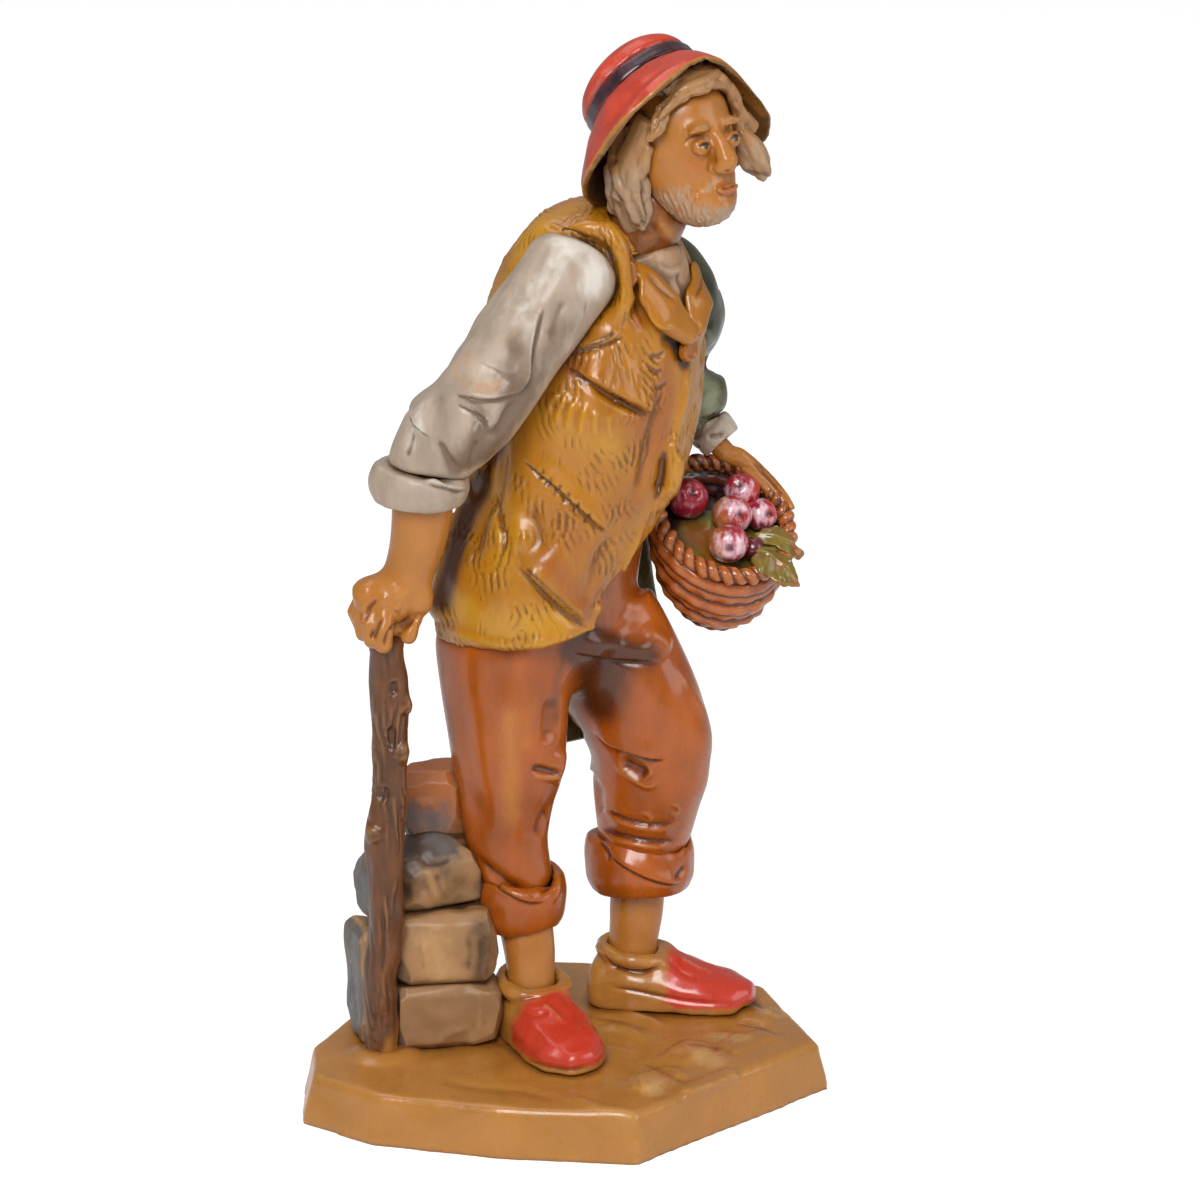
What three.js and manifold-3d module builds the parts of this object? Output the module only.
// A painted, moulded figurine of a shepherd who leans on a staff and carries a basket of fruit.
// Sizes are in millimetres. +Z is up, -Y is the way the figure faces and +X is the figure's left.
// The origin is on the underside of the base, at the middle of its outline.
import * as THREE from 'three';
import { mergeVertices } from 'three/addons/utils/BufferGeometryUtils.js';
import Module from 'manifold-3d';

const wasm = await Module();
wasm.setup();

// Driving dimensions
const glueGap = 0.3;            // space for glue between two pieces that meet
const socketDepth = 2.5;        // how far a leg, a neck or the staff enters its seat
const baseHeight = 9;
const baseWidth = 88;
const baseLength = 80;
const baseDraft = 1.6;          // how far the side of the base leans in
const ankleHeight = 8;          // above the top of the base
const cuffHeight = 25;          // middle of the trouser cuffs, above the top of the base
const kneeHeight = 50;
const hipHeight = 74;
const torsoLength = 66;         // hip line to the root of the neck
const torsoLean = 12;           // how far the neck is in front of the hips
const neckLength = 8;
const headHeight = 26;
const headWidth = 18;
const headDepth = 21.5;
const staffLength = 77;         // above the top of the base
const staffThickness = 6.2;
const sleeveThickness = 16;
const thighThickness = 20.5;
const chestWidth = 37.5;
const chestDepth = 32;
const drapeWidth = 27;
const fingerThickness = 3.2;
const shoeLength = 32;
const shoeWidth = 14.6;
const shinThickness = 9;
const hatWidth = 37.5;
const crownWidth = 22.5;
const crownHeight = 8.8;
const brimDrop = 8.4;           // how far the edge of the brim hangs below the foot of the crown
const basketWidth = 27;
const basketDepth = 15;
const basketWall = 1.6;
const basketTilt = 41;          // degrees that the mouth of the basket leans forward
const basketSag = 0.52;         // how far the bowl slides forward for each unit of its depth

const vec = (x, y, z) => new THREE.Vector3(x, y, z);
const shifted = (p, x, y, z = 0) => p.clone().add(vec(x, y, z));
const between = (a, b, share) => a.clone().lerp(b, share);
const mix = THREE.MathUtils.lerp;
const radians = THREE.MathUtils.degToRad;
const UP = vec(0, 0, 1);
const FRONT = vec(0, -1, 0);

// Landmarks of the figure, each one counted from the one below it
const ground = baseHeight;
const rightAnkle = vec(-3.4, 6, ground + ankleHeight);
const leftAnkle = vec(20.3, 0.1, ground + ankleHeight);
const rightCuffCentre = vec(-1.5, 9.2, ground + cuffHeight);
const leftCuffCentre = vec(22.4, -0.2, ground + cuffHeight + 1.5);
const rightKnee = vec(-3.2, 10.8, ground + kneeHeight);
const leftKnee = vec(21, -3.2, ground + kneeHeight + 1);
const hips = vec(8, 8, ground + hipHeight);
const neckRoot = shifted(hips, 5, -torsoLean, torsoLength);
const skull = shifted(neckRoot, 4.6, -7.4, neckLength + headHeight / 2);
const rightShoulder = shifted(neckRoot, -15, 1.8, 1.8);
const leftShoulder = shifted(neckRoot, 17, 5, -5);
const staffFoot = vec(-26.4, 21.9, ground);
const grip = shifted(staffFoot, 1, -1.2, staffLength);
const rightWrist = shifted(grip, 2, -3, 11.5);
const rightElbow = vec(-18.2, 6.4, 128);
const basketMouth = shifted(leftShoulder, 3.6, -10.6, -45.4);
const leftWrist = shifted(basketMouth, 6.4, 1.8, 6.4);
const leftElbow = shifted(leftShoulder, 8, 5, -27);

// Geometry helpers

// One section of a lofted body: its centre, its full width and depth, and a turn about the spine in degrees.
const ring = (centre, wide, deep, turn = 0) => ({ centre, wide, deep, turn });

// A closed body whose rounded sections follow a smooth spine through the centres of the rings.
// square is the exponent of the outline of a section, where 2 is an ellipse. domes rounds off the two ends
// by that length. folds and foldDepth press lengthwise folds into the sides.
function loft(rings, options = {}) {
  const { around = 14, steps = 2, square = 2, domes = [0, 0], facing = FRONT } = options;
  const { folds = 0, foldDepth = 0 } = options;
  const spine = new THREE.CatmullRomCurve3(rings.map((r) => r.centre), false, 'centripetal');
  const sizes = new THREE.CatmullRomCurve3(rings.map((r) => vec(r.wide, r.deep, r.turn)), false, 'centripetal');
  const count = (rings.length - 1) * steps;
  const sections = [];
  const section = (t, scale, slide) => {
    const along = spine.getTangent(t);
    const size = sizes.getPoint(t);
    const front = facing.clone().addScaledVector(along, -facing.dot(along)).normalize();
    const side = front.clone().cross(along).normalize();
    const turn = radians(size.z);
    sections.push({
      centre: spine.getPoint(t).addScaledVector(along, slide),
      side: side.clone().applyAxisAngle(along, turn).multiplyScalar((scale * size.x) / 2),
      front: front.clone().applyAxisAngle(along, turn).multiplyScalar((scale * size.y) / 2),
      foldDepth: foldDepth * scale * Math.min(1, 0.3 + t),
    });
  };
  const domeShares = [0.86, 0.5];
  if (domes[0] > 0) domeShares.forEach((s) => section(0, Math.sqrt(1 - s * s), -s * domes[0]));
  for (let i = 0; i <= count; i++) section(i / count, 1, 0);
  if (domes[1] > 0) [...domeShares].reverse().forEach((s) => section(1, Math.sqrt(1 - s * s), s * domes[1]));
  const points = [];
  for (const s of sections) {
    for (let k = 0; k < around; k++) {
      const angle = (2 * Math.PI * k) / around;
      const c = Math.cos(angle);
      const n = Math.sin(angle);
      const bulge = (Math.abs(c) ** square + Math.abs(n) ** square) ** (-1 / square);
      const out = vec(0, 0, 0).addScaledVector(s.side, c * bulge).addScaledVector(s.front, n * bulge);
      out.addScaledVector(s.front.clone().normalize(), Math.sign(n) * s.foldDepth * Math.cos(folds * angle));
      points.push(out.add(s.centre));
    }
  }
  const last = sections.length - 1;
  const tip = (t, length) => spine.getPoint(t).addScaledVector(spine.getTangent(t), length);
  points.push(tip(0, -domes[0]), tip(1, domes[1]));
  const index = [];
  for (let i = 0; i < last; i++) {
    for (let k = 0; k < around; k++) {
      const a = i * around + k;
      const b = i * around + ((k + 1) % around);
      index.push(a, a + around, b, b, a + around, b + around);
    }
  }
  for (let k = 0; k < around; k++) {
    const next = (k + 1) % around;
    index.push(points.length - 2, k, next);
    index.push(points.length - 1, last * around + next, last * around + k);
  }
  return new THREE.BufferGeometry().setFromPoints(points).setIndex(index);
}

// A closed hoop round the Z axis. sectionAt gives the outline of its section as [radius, height] pairs.
function hoop(sectionAt, steps) {
  const points = [];
  const index = [];
  for (let i = 0; i < steps; i++) {
    const angle = (2 * Math.PI * i) / steps;
    const section = sectionAt(angle, i);
    const sides = section.length;
    const next = (i + 1) % steps;
    section.forEach(([radius, height], k) => {
      const after = (k + 1) % sides;
      points.push(vec(radius * Math.cos(angle), radius * Math.sin(angle), height));
      index.push(i * sides + k, i * sides + after, next * sides + k);
      index.push(i * sides + after, next * sides + after, next * sides + k);
    });
  }
  return new THREE.BufferGeometry().setFromPoints(points).setIndex(index);
}

// A round outline for a hoop: the radius of the hoop, the thickness of its cord and the height of its middle.
const cord = (radius, thickness, height = 0, sides = 6) => Array.from({ length: sides }, (_, k) => {
  const angle = (2 * Math.PI * k) / sides;
  return [radius + (thickness / 2) * Math.cos(angle), height + (thickness / 2) * Math.sin(angle)];
});

const turned = (profile, segments) => new THREE
  .LatheGeometry(profile.map(([radius, height]) => new THREE.Vector2(radius, height)), segments)
  .rotateX(Math.PI / 2);

const ball = (centre, wide, deep, high, detail = 12) => new THREE
  .SphereGeometry(0.5, detail, Math.round(detail * 0.6))
  .rotateX(Math.PI / 2)
  .scale(wide, deep, high)
  .translate(centre.x, centre.y, centre.z);

// The place and turn of a part, in degrees: turned to its left, tilted back and leaning to its right.
function frameAt(place, turnLeft = 0, tiltBack = 0, leanRight = 0) {
  const turn = new THREE.Euler(radians(-tiltBack), radians(-leanRight), radians(turnLeft), 'ZYX');
  return new THREE.Matrix4().makeRotationFromEuler(turn).setPosition(place);
}

// The place of a part whose Z axis points along a direction.
function aimedFrame(place, direction) {
  const turn = new THREE.Quaternion().setFromUnitVectors(UP, direction.clone().normalize());
  return new THREE.Matrix4().makeRotationFromQuaternion(turn).setPosition(place);
}

// The solid that a closed geometry bounds.
function solidOf(geometry) {
  const bare = geometry.clone();
  bare.deleteAttribute('normal');
  bare.deleteAttribute('uv');
  const merged = mergeVertices(bare, 1e-4);
  const corners = merged.index.array;
  const triVerts = [];
  for (let i = 0; i < corners.length; i += 3) {
    const [a, b, c] = [corners[i], corners[i + 1], corners[i + 2]];
    if (a !== b && b !== c && c !== a) triVerts.push(a, b, c);
  }
  const build = (faces) => new wasm.Manifold(new wasm.Mesh({
    numProp: 3,
    vertProperties: merged.attributes.position.array,
    triVerts: new Uint32Array(faces),
  }));
  const solid = build(triVerts);
  return solid.volume() > 0 ? solid : build(triVerts.reverse());
}

const joined = (...geometries) => geometries.map(solidOf).reduce((a, b) => a.add(b));

function geometryOf(solid) {
  const mesh = solid.getMesh();
  return new THREE.BufferGeometry()
    .setAttribute('position', new THREE.BufferAttribute(new Float32Array(mesh.vertProperties), 3))
    .setIndex(new THREE.BufferAttribute(new Uint32Array(mesh.triVerts), 1));
}

// The solid with each of its faces moved outwards by the gap.
function grown(solid, gap) {
  const geometry = geometryOf(solid);
  const points = geometry.attributes.position;
  const index = geometry.index.array;
  const corner = [vec(), vec(), vec()];
  const faces = [];
  const normals = Array.from({ length: points.count }, () => vec(0, 0, 0));
  for (let i = 0; i < index.length; i += 3) {
    corner.forEach((c, k) => c.fromBufferAttribute(points, index[i + k]));
    const unit = corner[1].clone().sub(corner[0]).cross(corner[2].clone().sub(corner[0])).normalize();
    faces.push(unit);
    for (let k = 0; k < 3; k++) {
      const arms = [1, 2].map((s) => corner[(k + s) % 3].clone().sub(corner[k]));
      normals[index[i + k]].addScaledVector(unit, arms[0].angleTo(arms[1]));
    }
  }
  normals.forEach((n) => n.normalize());
  const tightest = new Array(points.count).fill(1);
  faces.forEach((unit, f) => {
    for (let k = 0; k < 3; k++) {
      const v = index[3 * f + k];
      tightest[v] = Math.min(tightest[v], normals[v].dot(unit));
    }
  });
  const mostStretch = 2;
  normals.forEach((n, v) => {
    const step = gap * Math.min(mostStretch, 1 / Math.max(tightest[v], 0.01));
    corner[0].fromBufferAttribute(points, v).addScaledVector(n, step);
    points.setXYZ(v, corner[0].x, corner[0].y, corner[0].z);
  });
  return solidOf(geometry);
}

const biggest = (solid) => solid.decompose().reduce((a, b) => (a.volume() > b.volume() ? a : b));

// Pieces are fitted in turn: each new one is cut to clear those before it
const figurine = new THREE.Group();
const fitted = [];

function boxesMeet(a, b, margin) {
  return [0, 1, 2].every((i) => a.min[i] - margin < b.max[i] && b.min[i] - margin < a.max[i]);
}

function fit(name, solid, colour, roughness = 0.45) {
  let body = solid;
  for (const earlier of fitted) {
    const near = boxesMeet(body.boundingBox(), earlier.solid.boundingBox(), glueGap);
    if (near) body = body.subtract(earlier.grown);
  }
  fitted.push({ solid, grown: grown(solid, glueGap) });
  const material = new THREE.MeshStandardMaterial({ color: colour, roughness, metalness: 0 });
  const mesh = new THREE.Mesh(geometryOf(biggest(body)), material);
  mesh.name = name;
  figurine.add(mesh);
}

const COLOUR = {
  bareCast: 0xb9803c,
  skin: 0xc07c36,
  rock: 0xa9804f,
  wood: 0x6d4022,
  trousers: 0xb8601c,
  fleece: 0xc98a20,
  linen: 0xcdbfb4,
  cloak: 0x5b6234,
  shoeRed: 0xc83a28,
  hatRed: 0xcf4630,
  hatBand: 0x33202c,
  hair: 0x8a6f55,
  wicker: 0xb5652c,
  rim: 0xbf7434,
  apple: 0xb8323c,
  leaf: 0x7f8430,
};

// The staff: a rough branch that stands in a socket in the base and ends inside the hand.
function addStaff() {
  const stations = [
    { share: 0, girth: 0.92, sway: -0.4 },
    { share: 0.16, girth: 1, sway: -0.6 },
    { share: 0.34, girth: 1.02, sway: 0.1 },
    { share: 0.52, girth: 1.14, sway: -0.5 },
    { share: 0.62, girth: 0.98, sway: 0.1 },
    { share: 0.8, girth: 1.12, sway: 0.5 },
    { share: 1, girth: 0.98, sway: 0 },
  ];
  const bottom = shifted(staffFoot, 0, 0, -socketDepth);
  const rings = stations.map(({ share, girth, sway }) => ring(
    between(bottom, grip, share).add(vec(0.57 * sway, -0.82 * sway, 0)),
    staffThickness * girth,
    staffThickness * girth,
  ));
  fit('staff', solidOf(loft(rings, { around: 10, domes: [0, 1] })), COLOUR.wood, 0.7);
}

// The base: an irregular slab with leaning sides, and flat stones of a path in front of the feet.
function addBase() {
  const outline = [
    [-0.495, 0.34], [-0.505, 0.14], [-0.415, -0.13], [-0.28, -0.4], [0.267, -0.51], [0.31, -0.45],
    [0.487, -0.2], [0.39, 0.25], [0.335, 0.34], [-0.19, 0.495], [-0.36, 0.455],
  ].map(([x, y]) => [x * baseWidth, y * baseLength]);
  const reach = 40;
  const edge = 0.8;
  const points = [];
  for (const [height, inset] of [[0, 0], [baseHeight - edge, baseDraft], [baseHeight, baseDraft + edge]]) {
    const scale = 1 - inset / reach;
    outline.forEach(([x, y]) => points.push(vec(x * scale, y * scale, height)));
  }
  const n = outline.length;
  points.push(vec(0, 0, 0), vec(0, 0, baseHeight));
  const index = [];
  for (let k = 0; k < n; k++) {
    const next = (k + 1) % n;
    for (const a of [k, k + n]) {
      const b = a - k + next;
      index.push(a, b, a + n, b, b + n, a + n);
    }
    index.push(points.length - 2, next, k, points.length - 1, 2 * n + k, 2 * n + next);
  }
  const slab = new THREE.BufferGeometry().setFromPoints(points).setIndex(index);
  const stoneRise = 0.7;
  const pathStones = [
    { at: [-9, -25], size: [13, 6.5], turn: -8 },
    { at: [4.5, -22.5], size: [11.5, 7], turn: 6 },
    { at: [14.5, -28.5], size: [13, 6], turn: -10 },
    { at: [27, -22.5], size: [9, 6.5], turn: 30 },
    { at: [-4, -33], size: [14, 4], turn: -10 },
  ].map(({ at: [x, y], size: [wide, deep], turn }) => loft([
    ring(vec(x, y, baseHeight - 1), wide, deep, turn),
    ring(vec(x, y, baseHeight + stoneRise * 0.6), wide, deep, turn),
    ring(vec(x, y, baseHeight + stoneRise), wide - 1.4, deep - 1.4, turn),
  ], { around: 8, steps: 1, square: 4 }));
  fit('base', joined(slab, ...pathStones), COLOUR.bareCast);
}

// A shin: the bare leg between the shoe and the rolled trouser cuff.
function addShin(name, ankle, cuffCentre) {
  const sole = shifted(ankle, 0, 0, -ankleHeight + socketDepth);
  const top = shifted(cuffCentre, 0, 0, 3);
  fit(name, solidOf(loft([
    ring(sole, shinThickness, shinThickness * 1.1),
    ring(shifted(ankle, 0, 0, 3), shinThickness * 0.94, shinThickness),
    ring(between(ankle, top, 0.55), shinThickness * 1.04, shinThickness * 1.12),
    ring(top, shinThickness * 1.02, shinThickness * 1.1),
  ])), COLOUR.skin);
}

// A shoe: a soft low boot with a rolled collar round the ankle.
function addShoe(name, ankle, turnLeft) {
  const turn = radians(turnLeft);
  const forward = vec(Math.sin(turn), -Math.cos(turn), 0);
  const heel = ankle.clone().setZ(ground).addScaledVector(forward, -shoeLength * 0.28);
  const middle = 1.5;
  const section = (share, wide, top) => ring(
    shifted(heel, 0, 0, middle).addScaledVector(forward, shoeLength * share),
    shoeWidth * wide,
    2 * (top - middle),
  );
  const upper = loft([
    section(0.08, 0.74, 9),
    section(0.28, 0.92, 11.6),
    section(0.46, 0.94, 10.4),
    section(0.68, 1, 7.6),
    section(0.86, 0.84, 5.8),
    section(0.96, 0.46, 4.6),
  ], { square: 2.4, domes: [2, 1], facing: UP });
  const collarThickness = 3;
  const collar = hoop(() => cord(shinThickness * 0.62, collarThickness), 14).scale(1, 1.1, 1);
  collar.applyMatrix4(frameAt(shifted(ankle, 0, 0, 1.8).addScaledVector(forward, 0.6), turnLeft, -8));
  fit(name, joined(upper, collar), COLOUR.shoeRed);
}

// The trousers: two baggy legs, the seat that joins them, and a thick rolled cuff on each leg.
function addTrousers() {
  const rightLegTop = shifted(hips, -9.8, 4.6, 1);
  const leftLegTop = shifted(hips, 8.4, -1.5, 1);
  const rightHem = shifted(rightCuffCentre, -0.3, 0.6, 1.5);
  const leftHem = shifted(leftCuffCentre, 0, -0.2, 1.5);
  fit('trouser_leg_right', solidOf(loft([
    ring(rightHem, thighThickness * 0.6, thighThickness * 0.63),
    ring(shifted(between(rightHem, rightKnee, 0.4), -0.9, 1.2), thighThickness * 0.66, thighThickness * 0.72),
    ring(shifted(between(rightHem, rightKnee, 0.78), -0.5, 0.6), thighThickness * 0.77, thighThickness * 0.88),
    ring(rightKnee, thighThickness * 0.9, thighThickness * 1.03),
    ring(between(rightKnee, rightLegTop, 0.6), thighThickness, thighThickness * 1.17),
    ring(rightLegTop, thighThickness, thighThickness * 1.24),
  ])), COLOUR.trousers);
  fit('trouser_leg_left', solidOf(loft([
    ring(leftHem, thighThickness * 0.68, thighThickness * 0.73),
    ring(between(leftHem, leftKnee, 0.5), thighThickness * 0.85, thighThickness),
    ring(leftKnee, thighThickness * 0.93, thighThickness * 1.22),
    ring(between(leftKnee, leftLegTop, 0.5), thighThickness * 0.98, thighThickness * 1.29),
    ring(leftLegTop, thighThickness * 0.93, thighThickness * 1.22),
  ])), COLOUR.trousers);
  fit('trouser_seat', solidOf(loft([
    ring(shifted(hips, -0.6, 1, -9), 20, 17),
    ring(shifted(hips, -0.6, 1, -1), 33, 26),
    ring(shifted(hips, 0, 0, 9), 32, 24),
    ring(shifted(hips, 1, -2.6, 20), 30, 22),
  ], { square: 2.4, domes: [3, 0] })), COLOUR.trousers);
  const rightRoll = shifted(rightCuffCentre, -0.3, 0.4, 0);
  const leftRoll = shifted(leftCuffCentre, -0.2, 0.2, 0.4);
  addTrouserCuff('trouser_cuff_right', rightRoll, thighThickness * 0.77, 10, -8, 6);
  addTrouserCuff('trouser_cuff_left', leftRoll, thighThickness * 0.95, 10.4, 5, -4);
}

function addTrouserCuff(name, centre, thickness, height, tiltBack, leanRight) {
  const place = (share) => vec(0, 0, height * share);
  const roll = loft([
    ring(place(-0.5), thickness * 0.86, thickness * 0.9),
    ring(place(-0.25), thickness * 1.01, thickness * 1.04),
    ring(place(0.2), thickness * 1.02, thickness * 1.05),
    ring(place(0.5), thickness * 0.94, thickness * 0.98),
  ], { around: 16, steps: 1 });
  fit(name, solidOf(roll.applyMatrix4(frameAt(centre, 0, tiltBack, leanRight))), COLOUR.trousers);
}

// The right arm: a forearm with the hand closed over the staff, a rolled cuff and a full sleeve.
function addRightArm() {
  const outer = vec(-0.82, -0.57, 0);
  const hand = frameAt(grip, -55);
  const inHand = (x, y, z) => vec(x, y, z).applyMatrix4(hand);
  const cuffPlace = shifted(rightWrist, 1.2, -2, 16.6);
  const arm = loft([
    ring(shifted(cuffPlace, 0.2, -0.3, 2), 10.6, 11.4),
    ring(shifted(cuffPlace, 0.2, -0.3, -6), 10, 11),
    ring(rightWrist, 8.2, 9.2),
    ring(inHand(1.2, -0.4, 8.2), 9.4, 9.6),
    ring(inHand(-3, 0, 6.2), 9.8, 8.6),
  ], { domes: [0, 2], facing: outer });
  const fingers = [
    { knuckle: [-4.2, 2.4, 7], bend: [-5.4, 2, 4.6], tip: [-4.4, 1.6, 2.2] },
    { knuckle: [-3.8, -0.6, 7], bend: [-5, -1.8, 4.6], tip: [-4, -2, 1.8] },
    { knuckle: [-2.2, -2.8, 6.8], bend: [-3, -4.4, 4.2], tip: [-2.4, -4.2, 1.2] },
    { knuckle: [0, -4, 6.6], bend: [-0.4, -5.4, 3.8], tip: [-0.4, -4.7, 0.4] },
    { knuckle: [4.8, -1.4, 6.8], bend: [5, -2.2, 4], tip: [3.8, -3, 1.6] },
  ].map(({ knuckle, bend, tip }) => loft([
    ring(inHand(knuckle[0] * 0.4, knuckle[1] * 0.5, 7.4), fingerThickness, fingerThickness),
    ring(inHand(...knuckle), fingerThickness, fingerThickness),
    ring(inHand(...bend), fingerThickness, fingerThickness),
    ring(inHand(...tip), fingerThickness * 0.85, fingerThickness * 0.85),
  ], { around: 7, steps: 1, domes: [0, 1.2], facing: outer }));
  fit('right_forearm_hand', joined(arm, ...fingers), COLOUR.skin);
  fit('right_sleeve_cuff', solidOf(loft([
    ring(shifted(cuffPlace, 0, 0.2, -2.8), sleeveThickness * 0.98, sleeveThickness * 1.03),
    ring(cuffPlace, sleeveThickness * 1.08, sleeveThickness * 1.13),
    ring(shifted(cuffPlace, 0.2, -0.4, 2.8), sleeveThickness, sleeveThickness * 1.05),
  ], { facing: outer })), COLOUR.linen);
  fit('right_sleeve', solidOf(loft([
    ring(shifted(cuffPlace, 0.2, -0.2, 1), sleeveThickness * 0.81, sleeveThickness * 0.87),
    ring(shifted(cuffPlace, 2, -3.2, 8), sleeveThickness * 0.97, sleeveThickness * 1.03),
    ring(rightElbow, sleeveThickness * 1.03, sleeveThickness * 1.06),
    ring(between(rightElbow, rightShoulder, 0.55), sleeveThickness, sleeveThickness * 1.06),
    ring(rightShoulder, sleeveThickness * 1.03, sleeveThickness * 1.06),
  ], { domes: [0, 5], facing: outer })), COLOUR.linen);
}

// The neck, the head and the hair. The head looks a little up and to the figure's right.
const headFrame = frameAt(skull, -12, 13, 4);

function addHead() {
  const chin = -headHeight / 2;
  const face = -headDepth * 0.48;
  const atFace = (x, y, z) => vec(x * headWidth, face + y * headDepth, z * headHeight);
  const section = (z, wide, deep, front) => ring(
    vec(0, face + headDepth * (front + deep / 2), z * headHeight),
    headWidth * wide,
    headDepth * deep,
  );
  const shape = loft([
    section(-0.49, 0.42, 0.26, 0.07),
    section(-0.42, 0.62, 0.5, 0.02),
    section(-0.27, 0.83, 0.72, 0.035),
    section(-0.12, 0.96, 0.88, 0.03),
    section(0.06, 1, 0.97, 0.01),
    section(0.26, 0.98, 0.97, 0.03),
    section(0.42, 0.74, 0.72, 0.14),
  ], { around: 16, steps: 1, domes: [0.5, 1.6] });
  const nose = loft([
    ring(atFace(0, 0.09, 0.08), 2.8, 2.6),
    ring(atFace(0, 0.03, -0.02), 3, 3.2),
    ring(atFace(0, -0.03, -0.13), 3.8, 3.2),
    ring(atFace(0, 0.02, -0.2), 4.4, 2.6),
  ], { around: 8, steps: 1, domes: [0.4, 0.6] });
  const features = [-1, 1].flatMap((side) => [
    ball(atFace(side * 0.2, 0.06, -0.02), 4.2, 3, 2.4, 8),
    ball(atFace(side * 0.2, 0.05, 0.09), 5.6, 3, 1.6, 8),
  ]);
  const lips = ball(atFace(0, 0.035, -0.32), 5.6, 2.6, 2, 8);
  const head = joined(shape, nose, ...features, lips);
  fit('head', head.transform(headFrame.toArray()), COLOUR.skin);
  fit('neck', solidOf(loft([
    ring(shifted(neckRoot, 0, 2.4, -socketDepth), 14.5, 15),
    ring(shifted(neckRoot, 1.6, -0.6, neckLength * 0.5), 12.5, 13),
    ring(shifted(skull, -1, 2.2, chin * 0.5), 12, 12.5),
  ])), COLOUR.skin);
}

function addHair() {
  const lock = (points, wide, deep) => solidOf(loft(
    points.map((p, i) => ring(vec(...p), i === points.length - 1 ? wide * 0.6 : wide, deep)),
    { around: 9, steps: 1, domes: [1, 1.6] },
  ).applyMatrix4(headFrame));
  fit('hair_right', lock([
    [-8.4, -2.4, 6], [-10.2, 2.4, 0], [-11, 5, -6], [-9.6, 5, -10.5],
  ], 5, 6.6).add(lock([
    [-7.6, 4, 5], [-9.8, 6, -1.5], [-9.4, 7.4, -8], [-7.4, 7, -12.5],
  ], 6, 6)), COLOUR.hair);
  fit('hair_left', lock([
    [8.4, -3.6, 3], [10, -3.4, -2], [11, -4.6, -5.2], [12.2, -6.6, -7.6],
  ], 5, 5.6).add(lock([
    [8.6, 0.5, 5], [10.4, 4.4, -2], [10, 5.4, -8], [8, 6.4, -12],
  ], 6, 6.6)), COLOUR.hair);
  fit('hair_back', lock([[0, 8.5, 5], [0, 10.6, -1], [0, 10.4, -7], [0, 9, -12.5]], 15, 6.6), COLOUR.hair);
  fit('hair_fringe', lock([[-8.2, -5.4, 7], [-4.6, -8.6, 9], [-0.8, -9.6, 8.6]], 3.4, 3.4).add(
    lock([[8.2, -5, 6.4], [5, -8.2, 8.6], [0.6, -9.6, 9.4]], 3.4, 3.4),
  ), COLOUR.hair);
}

// The hat: a round crown, a dark band and a wide flared brim, worn on the back of the head.
function addHat() {
  const seatTilt = -40;
  const seat = frameAt(vec(0.4, headDepth * 0.3, headHeight * 0.34), 0, -seatTilt);
  const hatFrame = headFrame.clone().multiply(seat);
  const crownRadius = crownWidth / 2;
  const brimRadius = hatWidth / 2;
  const bandHeight = 3.2;
  const felt = 1.1;
  const ledge = 1.2;
  const dome = [1, 0.9, 0.7, 0.4, 0].map((share) => [
    crownRadius * share,
    bandHeight + (crownHeight - bandHeight) * Math.sqrt(1 - share * share),
  ]);
  fit('hat_crown', solidOf(turned([
    [0, -felt], [crownRadius - ledge, -felt], [crownRadius - ledge, bandHeight - glueGap], ...dome,
  ], 20).applyMatrix4(hatFrame)), COLOUR.hatRed);
  const bandInside = crownRadius - ledge + glueGap;
  const bandTop = bandHeight - 2 * glueGap;
  fit('hat_band', solidOf(hoop(() => [
    [bandInside, 0], [crownRadius + 0.3, 0], [crownRadius - 0.1, bandTop / 2],
    [crownRadius + 0.1, bandTop], [bandInside, bandTop],
  ], 20).applyMatrix4(hatFrame)), COLOUR.hatBand);
  // The reach and the drop of the edge of the brim, in eighths of a turn from the figure's left
  const edge = new THREE.CatmullRomCurve3([
    [0.98, 1.6], [1.05, 1.25], [1.04, 1], [1.04, 0.82], [1, 1.02], [0.98, 1.02], [0.88, 0.74], [0.8, 1.3],
  ].map(([reach, drop]) => vec(brimRadius * reach, brimDrop * drop, 0)), true);
  const brimSteps = 24;
  fit('hat_brim', solidOf(hoop((angle, i) => {
    const { x: reach, y: drop } = edge.getPoint(i / brimSteps);
    const out = (share) => mix(crownRadius, reach, share);
    return [
      [bandInside, -glueGap], [out(0.08), -glueGap], [out(0.42), drop * -0.3], [out(0.78), drop * -0.7],
      [reach, -drop], [reach - 0.6, -drop - felt], [out(0.66), drop * -0.7 - felt],
      [out(0.3), drop * -0.32 - felt], [bandInside, -glueGap - felt],
    ];
  }, brimSteps).applyMatrix4(hatFrame)), COLOUR.hatRed);
}

// The shirt that shows in the open collar.
function addShirt() {
  fit('shirt_front', solidOf(loft([
    ring(shifted(neckRoot, 1, -3, -12), 16, 11),
    ring(shifted(neckRoot, 1, -2.4, -5), 18, 15),
    ring(shifted(neckRoot, 0.8, -0.2, 1), 16, 17.5),
  ], { around: 12, square: 2.3 })), COLOUR.linen);
}

// The left arm inside the cloak: two full folds of cloth above the elbow.
function addCloakSleeve() {
  fit('cloak_sleeve', solidOf(loft([
    ring(shifted(leftShoulder, -3, 0, 3), 14, 16),
    ring(shifted(leftShoulder, 0, 0, -2), 19, 20),
    ring(between(leftShoulder, leftElbow, 0.3), 20.5, 22.5),
    ring(between(leftShoulder, leftElbow, 0.56), 17, 18.5),
    ring(between(leftShoulder, leftElbow, 0.84), 20, 23),
    ring(shifted(leftElbow, 0, -3.4, -3), 15, 18),
  ], { domes: [2, 3] })), COLOUR.cloak);
}

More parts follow.
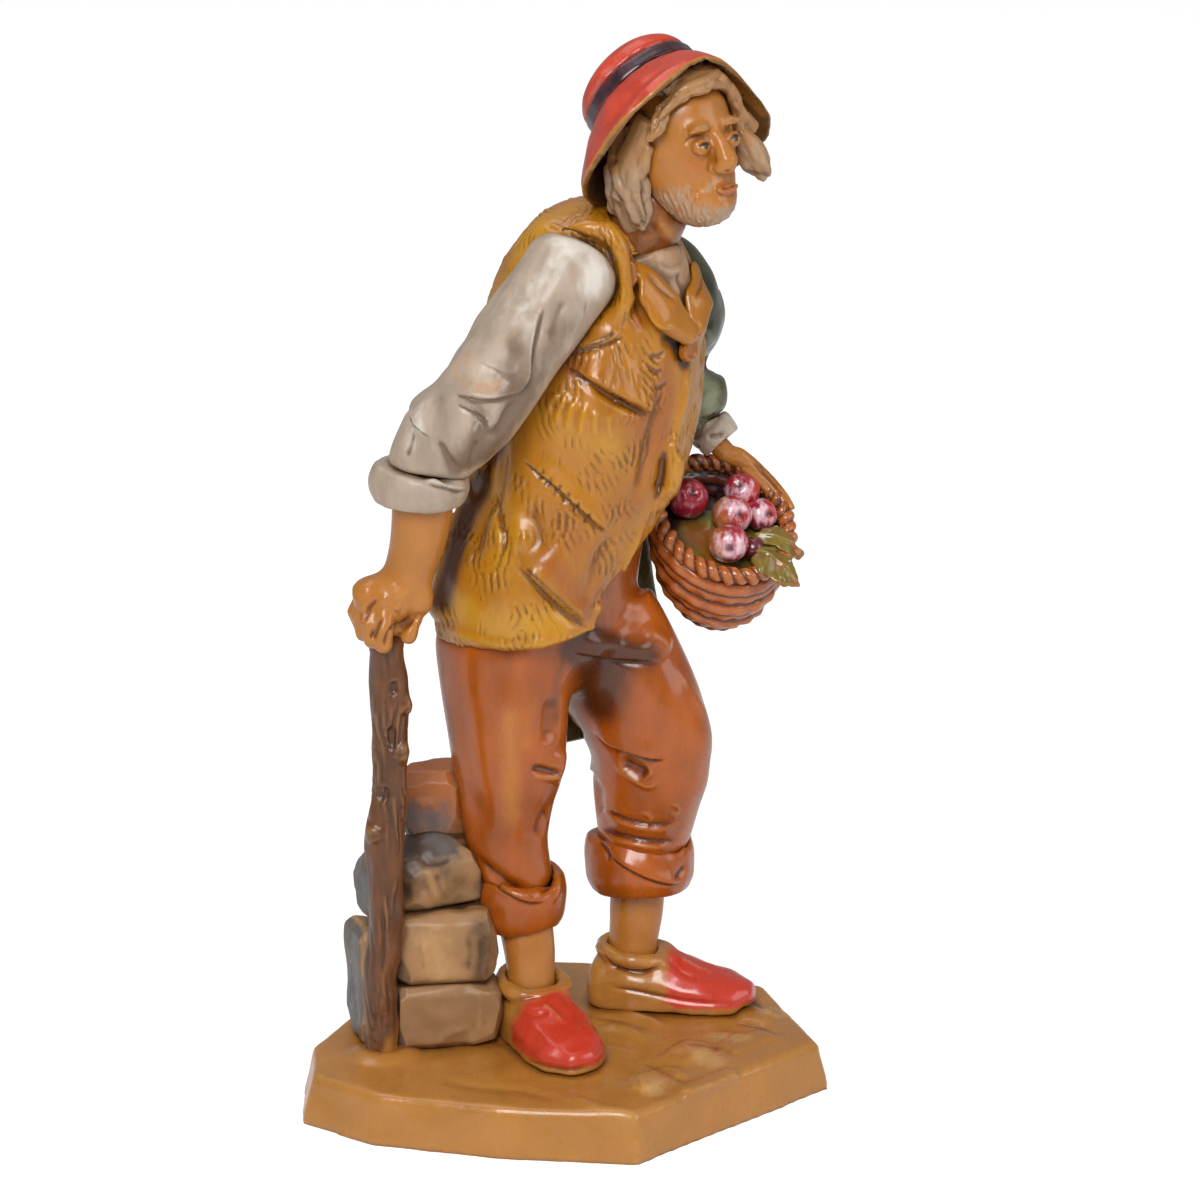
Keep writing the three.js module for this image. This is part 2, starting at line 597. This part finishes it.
// The vest: a bulky sleeveless fleece with a trim round the armhole, open in front below the button.
function addVest() {
  const body = loft([
    ring(shifted(hips, -1.5, 2.1, 4), chestWidth * 1.06, chestDepth * 1.06),
    ring(shifted(hips, -2, 2.6, 9.6), chestWidth * 1.02, chestDepth),
    ring(between(hips, neckRoot, 0.3).add(vec(-0.2, 0.6, 0)), chestWidth * 0.96, chestDepth * 0.91),
    ring(between(hips, neckRoot, 0.62).add(vec(0.4, 1.6, 0)), chestWidth, chestDepth),
    ring(between(hips, neckRoot, 0.86).add(vec(1.4, 6.2, 0)), chestWidth * 0.91, chestDepth * 1.16),
    ring(shifted(neckRoot, 0.2, 7.4, 1), chestWidth * 0.75, chestDepth * 0.97),
    ring(shifted(neckRoot, -1, 7, 7.4), chestWidth * 0.59, chestDepth * 0.63),
  ], { around: 20, square: 2.6, domes: [0, 2.6] });
  const opening = new THREE.ExtrudeGeometry(new THREE.Shape([
    new THREE.Vector2(hips.x + 8, hips.z + 24),
    new THREE.Vector2(hips.x - 16, hips.z - 4),
    new THREE.Vector2(hips.x + 30, hips.z - 4),
    new THREE.Vector2(hips.x + 30, hips.z + 19),
  ]), { depth: 24, bevelEnabled: false }).rotateX(Math.PI / 2).translate(0, hips.y - 2, 0);
  const trimPlace = shifted(rightShoulder, 1.4, -2.6, -2);
  const trim = hoop(() => cord(8, 4.2), 16).rotateX(Math.PI / 2).scale(0.92, 1, 1.1).rotateZ(radians(-62))
    .translate(trimPlace.x, trimPlace.y, trimPlace.z);
  fit('vest', solidOf(body).subtract(solidOf(opening)).add(solidOf(trim)), COLOUR.fleece);

  // The collar and the button keep their places on the front of the vest
  const vestFront = shifted(neckRoot, 0, 7.4 - chestDepth * 0.485);
  const lapel = (name, points) => fit(name, solidOf(loft(
    points.map(([place, wide]) => ring(shifted(vestFront, ...place), wide, 2.4)),
    { around: 10, steps: 1, square: 2.4, domes: [1, 1.2], facing: vec(-0.15, -0.95, 0.3) },
  )), COLOUR.fleece);
  lapel('collar_right', [
    [[-7.4, 6.3, 3.2], 4], [[-6.6, 0.9, -0.6], 6.5], [[-4.4, -2.9, -6.2], 8], [[0, -4.3, -11], 4],
  ]);
  lapel('collar_left', [
    [[8, 8.3, 2.4], 4], [[7.6, 1.7, -1.2], 6], [[5.4, -2.5, -6], 7], [[2.4, -3.9, -10], 3.6],
  ]);
  const buttonRadius = 2.1;
  fit('vest_button', solidOf(turned([
    [0, -2.2], [buttonRadius, -2.2], [buttonRadius, 0.5],
    [buttonRadius - 0.5, 0.9], [buttonRadius - 1, 0.5], [0, 0.5],
  ], 12).applyMatrix4(aimedFrame(shifted(vestFront, 1.4, -3.3, -14), FRONT))), COLOUR.fleece);
}

// The cloth of the cloak that hangs behind the left side, from the shoulder to the knee.
function addCloakDrape() {
  fit('cloak_drape', solidOf(loft([
    ring(shifted(leftShoulder, -8, 8, 8), drapeWidth * 0.6, 13, 24),
    ring(shifted(leftShoulder, -6.6, 17.4, -9), drapeWidth * 0.94, 10, 40),
    ring(shifted(leftShoulder, -5.4, 17.4, -34), drapeWidth, 9, 42),
    ring(shifted(leftShoulder, -4, 14, -62), drapeWidth, 8, 44),
    ring(shifted(leftShoulder, -3, 8.6, -86), drapeWidth * 0.96, 6, 44),
  ], { around: 20, square: 2.4, domes: [1.5, 0], folds: 5, foldDepth: 1.1 })), COLOUR.cloak);
}

// The basket: a round wicker bowl with woven rows, a corded rim, and the leaves and fruit that fill it.
const basketFrame = frameAt(basketMouth, -24.5, -basketTilt);
const bowlFrame = basketFrame.clone().multiply(new THREE.Matrix4().makeShear(0, 0, 0, 0, 0, basketSag));
const basketSegments = 22;
const mouthRadius = basketWidth / 2;

function addBasket() {
  const rows = 5;
  const rowDepth = 0.6;
  const outer = Array.from({ length: rows * 2 + 1 }, (_, i) => {
    const angle = radians(78) * (i / (rows * 2));
    const swell = i % 2 ? rowDepth : 0;
    const radius = (mouthRadius - rowDepth) * Math.cos(angle) + swell;
    return [radius, -basketDepth * Math.sin(angle) - swell * angle * 0.5];
  });
  const inner = bowlInside(0);
  const profile = [[0, outer[outer.length - 1][1]], ...outer.reverse(), ...inner];
  fit('basket', solidOf(turned(profile, basketSegments).applyMatrix4(bowlFrame)), COLOUR.wicker);

  const lobes = 18;
  const rimThickness = 2.6;
  const thickness = (i) => (i % 2 ? rimThickness : rimThickness * 0.72);
  const rimRadius = mouthRadius - basketWall / 2;
  const rim = hoop((angle, i) => cord(rimRadius, thickness(i), rimThickness / 2 + glueGap), lobes * 2);
  fit('basket_rim', solidOf(rim.applyMatrix4(basketFrame)), COLOUR.rim);
}

// The inside of the bowl from its mouth to its bottom, moved inwards by a clearance.
function bowlInside(clearance) {
  const radius = mouthRadius - basketWall - clearance;
  const depth = basketDepth - 2 * basketWall - clearance;
  return [0, 25, 50, 72, 90].map((degrees) => [
    radius * Math.cos(radians(degrees)),
    -depth * Math.sin(radians(degrees)),
  ]);
}

// The left hand: the forearm comes out of a rolled cuff and the fingers hold the rim.
function addLeftHand() {
  const outer = vec(0.9, -0.3, 0.3);
  const onRim = (degrees, outwards, height) => {
    const radius = mouthRadius + outwards;
    return vec(radius * Math.cos(radians(degrees)), radius * Math.sin(radians(degrees)), height)
      .applyMatrix4(basketFrame);
  };
  const elbow = shifted(leftElbow, -0.6, -5, -2.6);
  const arm = loft([
    ring(elbow, 9, 9),
    ring(leftWrist, 7.2, 7.6),
    ring(onRim(48, 0.4, -0.4), 7, 4.8),
    ring(onRim(18, 0.6, -0.4), 6, 4.2),
  ], { around: 12, steps: 1, domes: [0, 2], facing: outer });
  const thickness = fingerThickness * 0.9;
  const fingers = [6, 19, 32, 45].map((degrees) => loft([
    ring(onRim(degrees + 3, 0.8, 0.8), thickness, thickness),
    ring(onRim(degrees + 2, -0.8, 2.4), thickness, thickness),
    ring(onRim(degrees, -2.8, 2.7), thickness, thickness),
    ring(onRim(degrees - 2, -4.2, 1.6), thickness * 0.9, thickness * 0.9),
  ], { around: 6, steps: 1, domes: [0, 1], facing: vec(0.5, -0.3, 0.8) }));
  fit('left_forearm_hand', joined(arm, ...fingers), COLOUR.skin);
  fit('left_sleeve_cuff', solidOf(loft([
    ring(between(elbow, leftWrist, -0.06), 11.5, 11.5),
    ring(between(elbow, leftWrist, 0.36), 12.6, 12.6),
    ring(between(elbow, leftWrist, 0.7), 11.6, 11.6),
  ], { facing: outer })), COLOUR.linen);
}

// The fruit on its bed of leaves. The bed leaves a pocket open at the back of the basket.
function addFruit() {
  const inBasket = (x, y, z) => vec(x, y, z).applyMatrix4(basketFrame);
  const fruits = {
    apple_back: { at: [-5.1, 6.2, 0.6], size: 7.4 },
    apple_far: { at: [4.4, 6.1, 0.6], size: 6.2 },
    apple_middle: { at: [1, 0.4, 2.2], size: 7 },
    apple_side: { at: [7.2, 0, 1.4], size: 5.8 },
    apple_front: { at: [-2.4, -5.4, 2], size: 7 },
    plum: { at: [3.2, -7, 1.4], size: 4.4 },
  };
  for (const [name, { at, size }] of Object.entries(fruits)) {
    fit(name, solidOf(ball(inBasket(...at), size, size, size * 0.94)), COLOUR.apple, 0.3);
  }
  const leaf = (name, x, y, turn, long) => fit(name, solidOf(loft([
    ring(vec(-long / 2, 0, 0), 1.8, 1),
    ring(vec(-long * 0.15, 0, 0.8), 7.4, 1.4),
    ring(vec(long * 0.2, 0, 0.7), 6.6, 1.4),
    ring(vec(long / 2, 0, -0.4), 1.6, 1),
  ], { around: 8, steps: 1, facing: UP, domes: [0.4, 0.6] })
    .rotateZ(radians(turn)).translate(x, y, 2.2).applyMatrix4(basketFrame)), COLOUR.leaf);
  leaf('leaf_front', 6.6, -10.8, -52, 10);
  leaf('leaf_side', 9.4, -6.8, -34, 7.5);
  const bedTop = -2.4;
  const inside = bowlInside(glueGap).slice(1);
  const mound = [[0, -0.6], [mouthRadius * 0.55, -1.2], [inside[0][0] + 0.6, bedTop]];
  const bed = turned([...mound, ...inside], basketSegments);
  const pocket = ball(vec(-2, 10.5, -1), 14, 9, 15, 10);
  const filled = solidOf(bed).subtract(solidOf(pocket));
  fit('leaf_bed', filled.transform(bowlFrame.toArray()), COLOUR.leaf);
}

// The rocks: a rough pile of squared stones behind the right leg, beside the staff.
function addRocks() {
  const [floor, first, second, third, top] = [0, 11.6, 25, 37.4, 48.6].map((height) => ground + height);
  const rock = (name, corners, bottom, height, bevel, lean = 0) => {
    const middle = vec(0, 0, 0);
    corners.forEach(([x, y]) => middle.add(vec(x, y, 0).divideScalar(corners.length)));
    const outline = new THREE.Shape(corners.map(([x, y]) => new THREE.Vector2(x - middle.x, y - middle.y)));
    const block = new THREE.ExtrudeGeometry(outline, {
      depth: height - bottom - 2 * bevel,
      bevelThickness: bevel,
      bevelSize: bevel,
      bevelOffset: -bevel,
      bevelSegments: 1,
    }).translate(0, 0, bevel).rotateY(radians(lean)).translate(middle.x, middle.y, bottom);
    fit(name, solidOf(block), COLOUR.rock, 0.6);
  };
  rock('rock_bottom', [
    [-24.6, 19.6], [-12.6, 6.6], [-6, 10], [-5.6, 22], [-12, 31], [-21, 30],
  ], floor + glueGap, first, 1.2);
  rock('rock_middle', [
    [-24.4, 20.6], [-13, 7.6], [-7, 11], [-6, 22], [-12.6, 30], [-20.6, 29],
  ], first + glueGap, second, 1.6);
  rock('rock_side', [
    [-27, 26], [-24.2, 21.8], [-20.4, 29.4], [-14.6, 32.4], [-19.6, 35.6],
  ], floor + glueGap, second - 4, 1.2);
  rock('rock_upper', [
    [-21.8, 27], [-19.4, 19.4], [-8.4, 12.4], [-5.6, 18], [-10.6, 27], [-16, 33], [-19.6, 32.6],
  ], second - 2.5, third - 2, 2, -10);
  rock('rock_top', [
    [-15.4, 25.6], [-11, 17.4], [-1.4, 16.6], [1.4, 22], [-4.6, 28.4], [-11.4, 29.6],
  ], third - 2, top, 1.8, 3);
}

addStaff();
addBase();
addShin('right_shin', rightAnkle, rightCuffCentre);
addShin('left_shin', leftAnkle, leftCuffCentre);
addShoe('right_shoe', rightAnkle, -30);
addShoe('left_shoe', leftAnkle, 27);
addTrousers();
addRightArm();
addHead();
addHair();
addHat();
addShirt();
addCloakSleeve();
addVest();
addCloakDrape();
addBasket();
addLeftHand();
addFruit();
addRocks();

export default figurine;
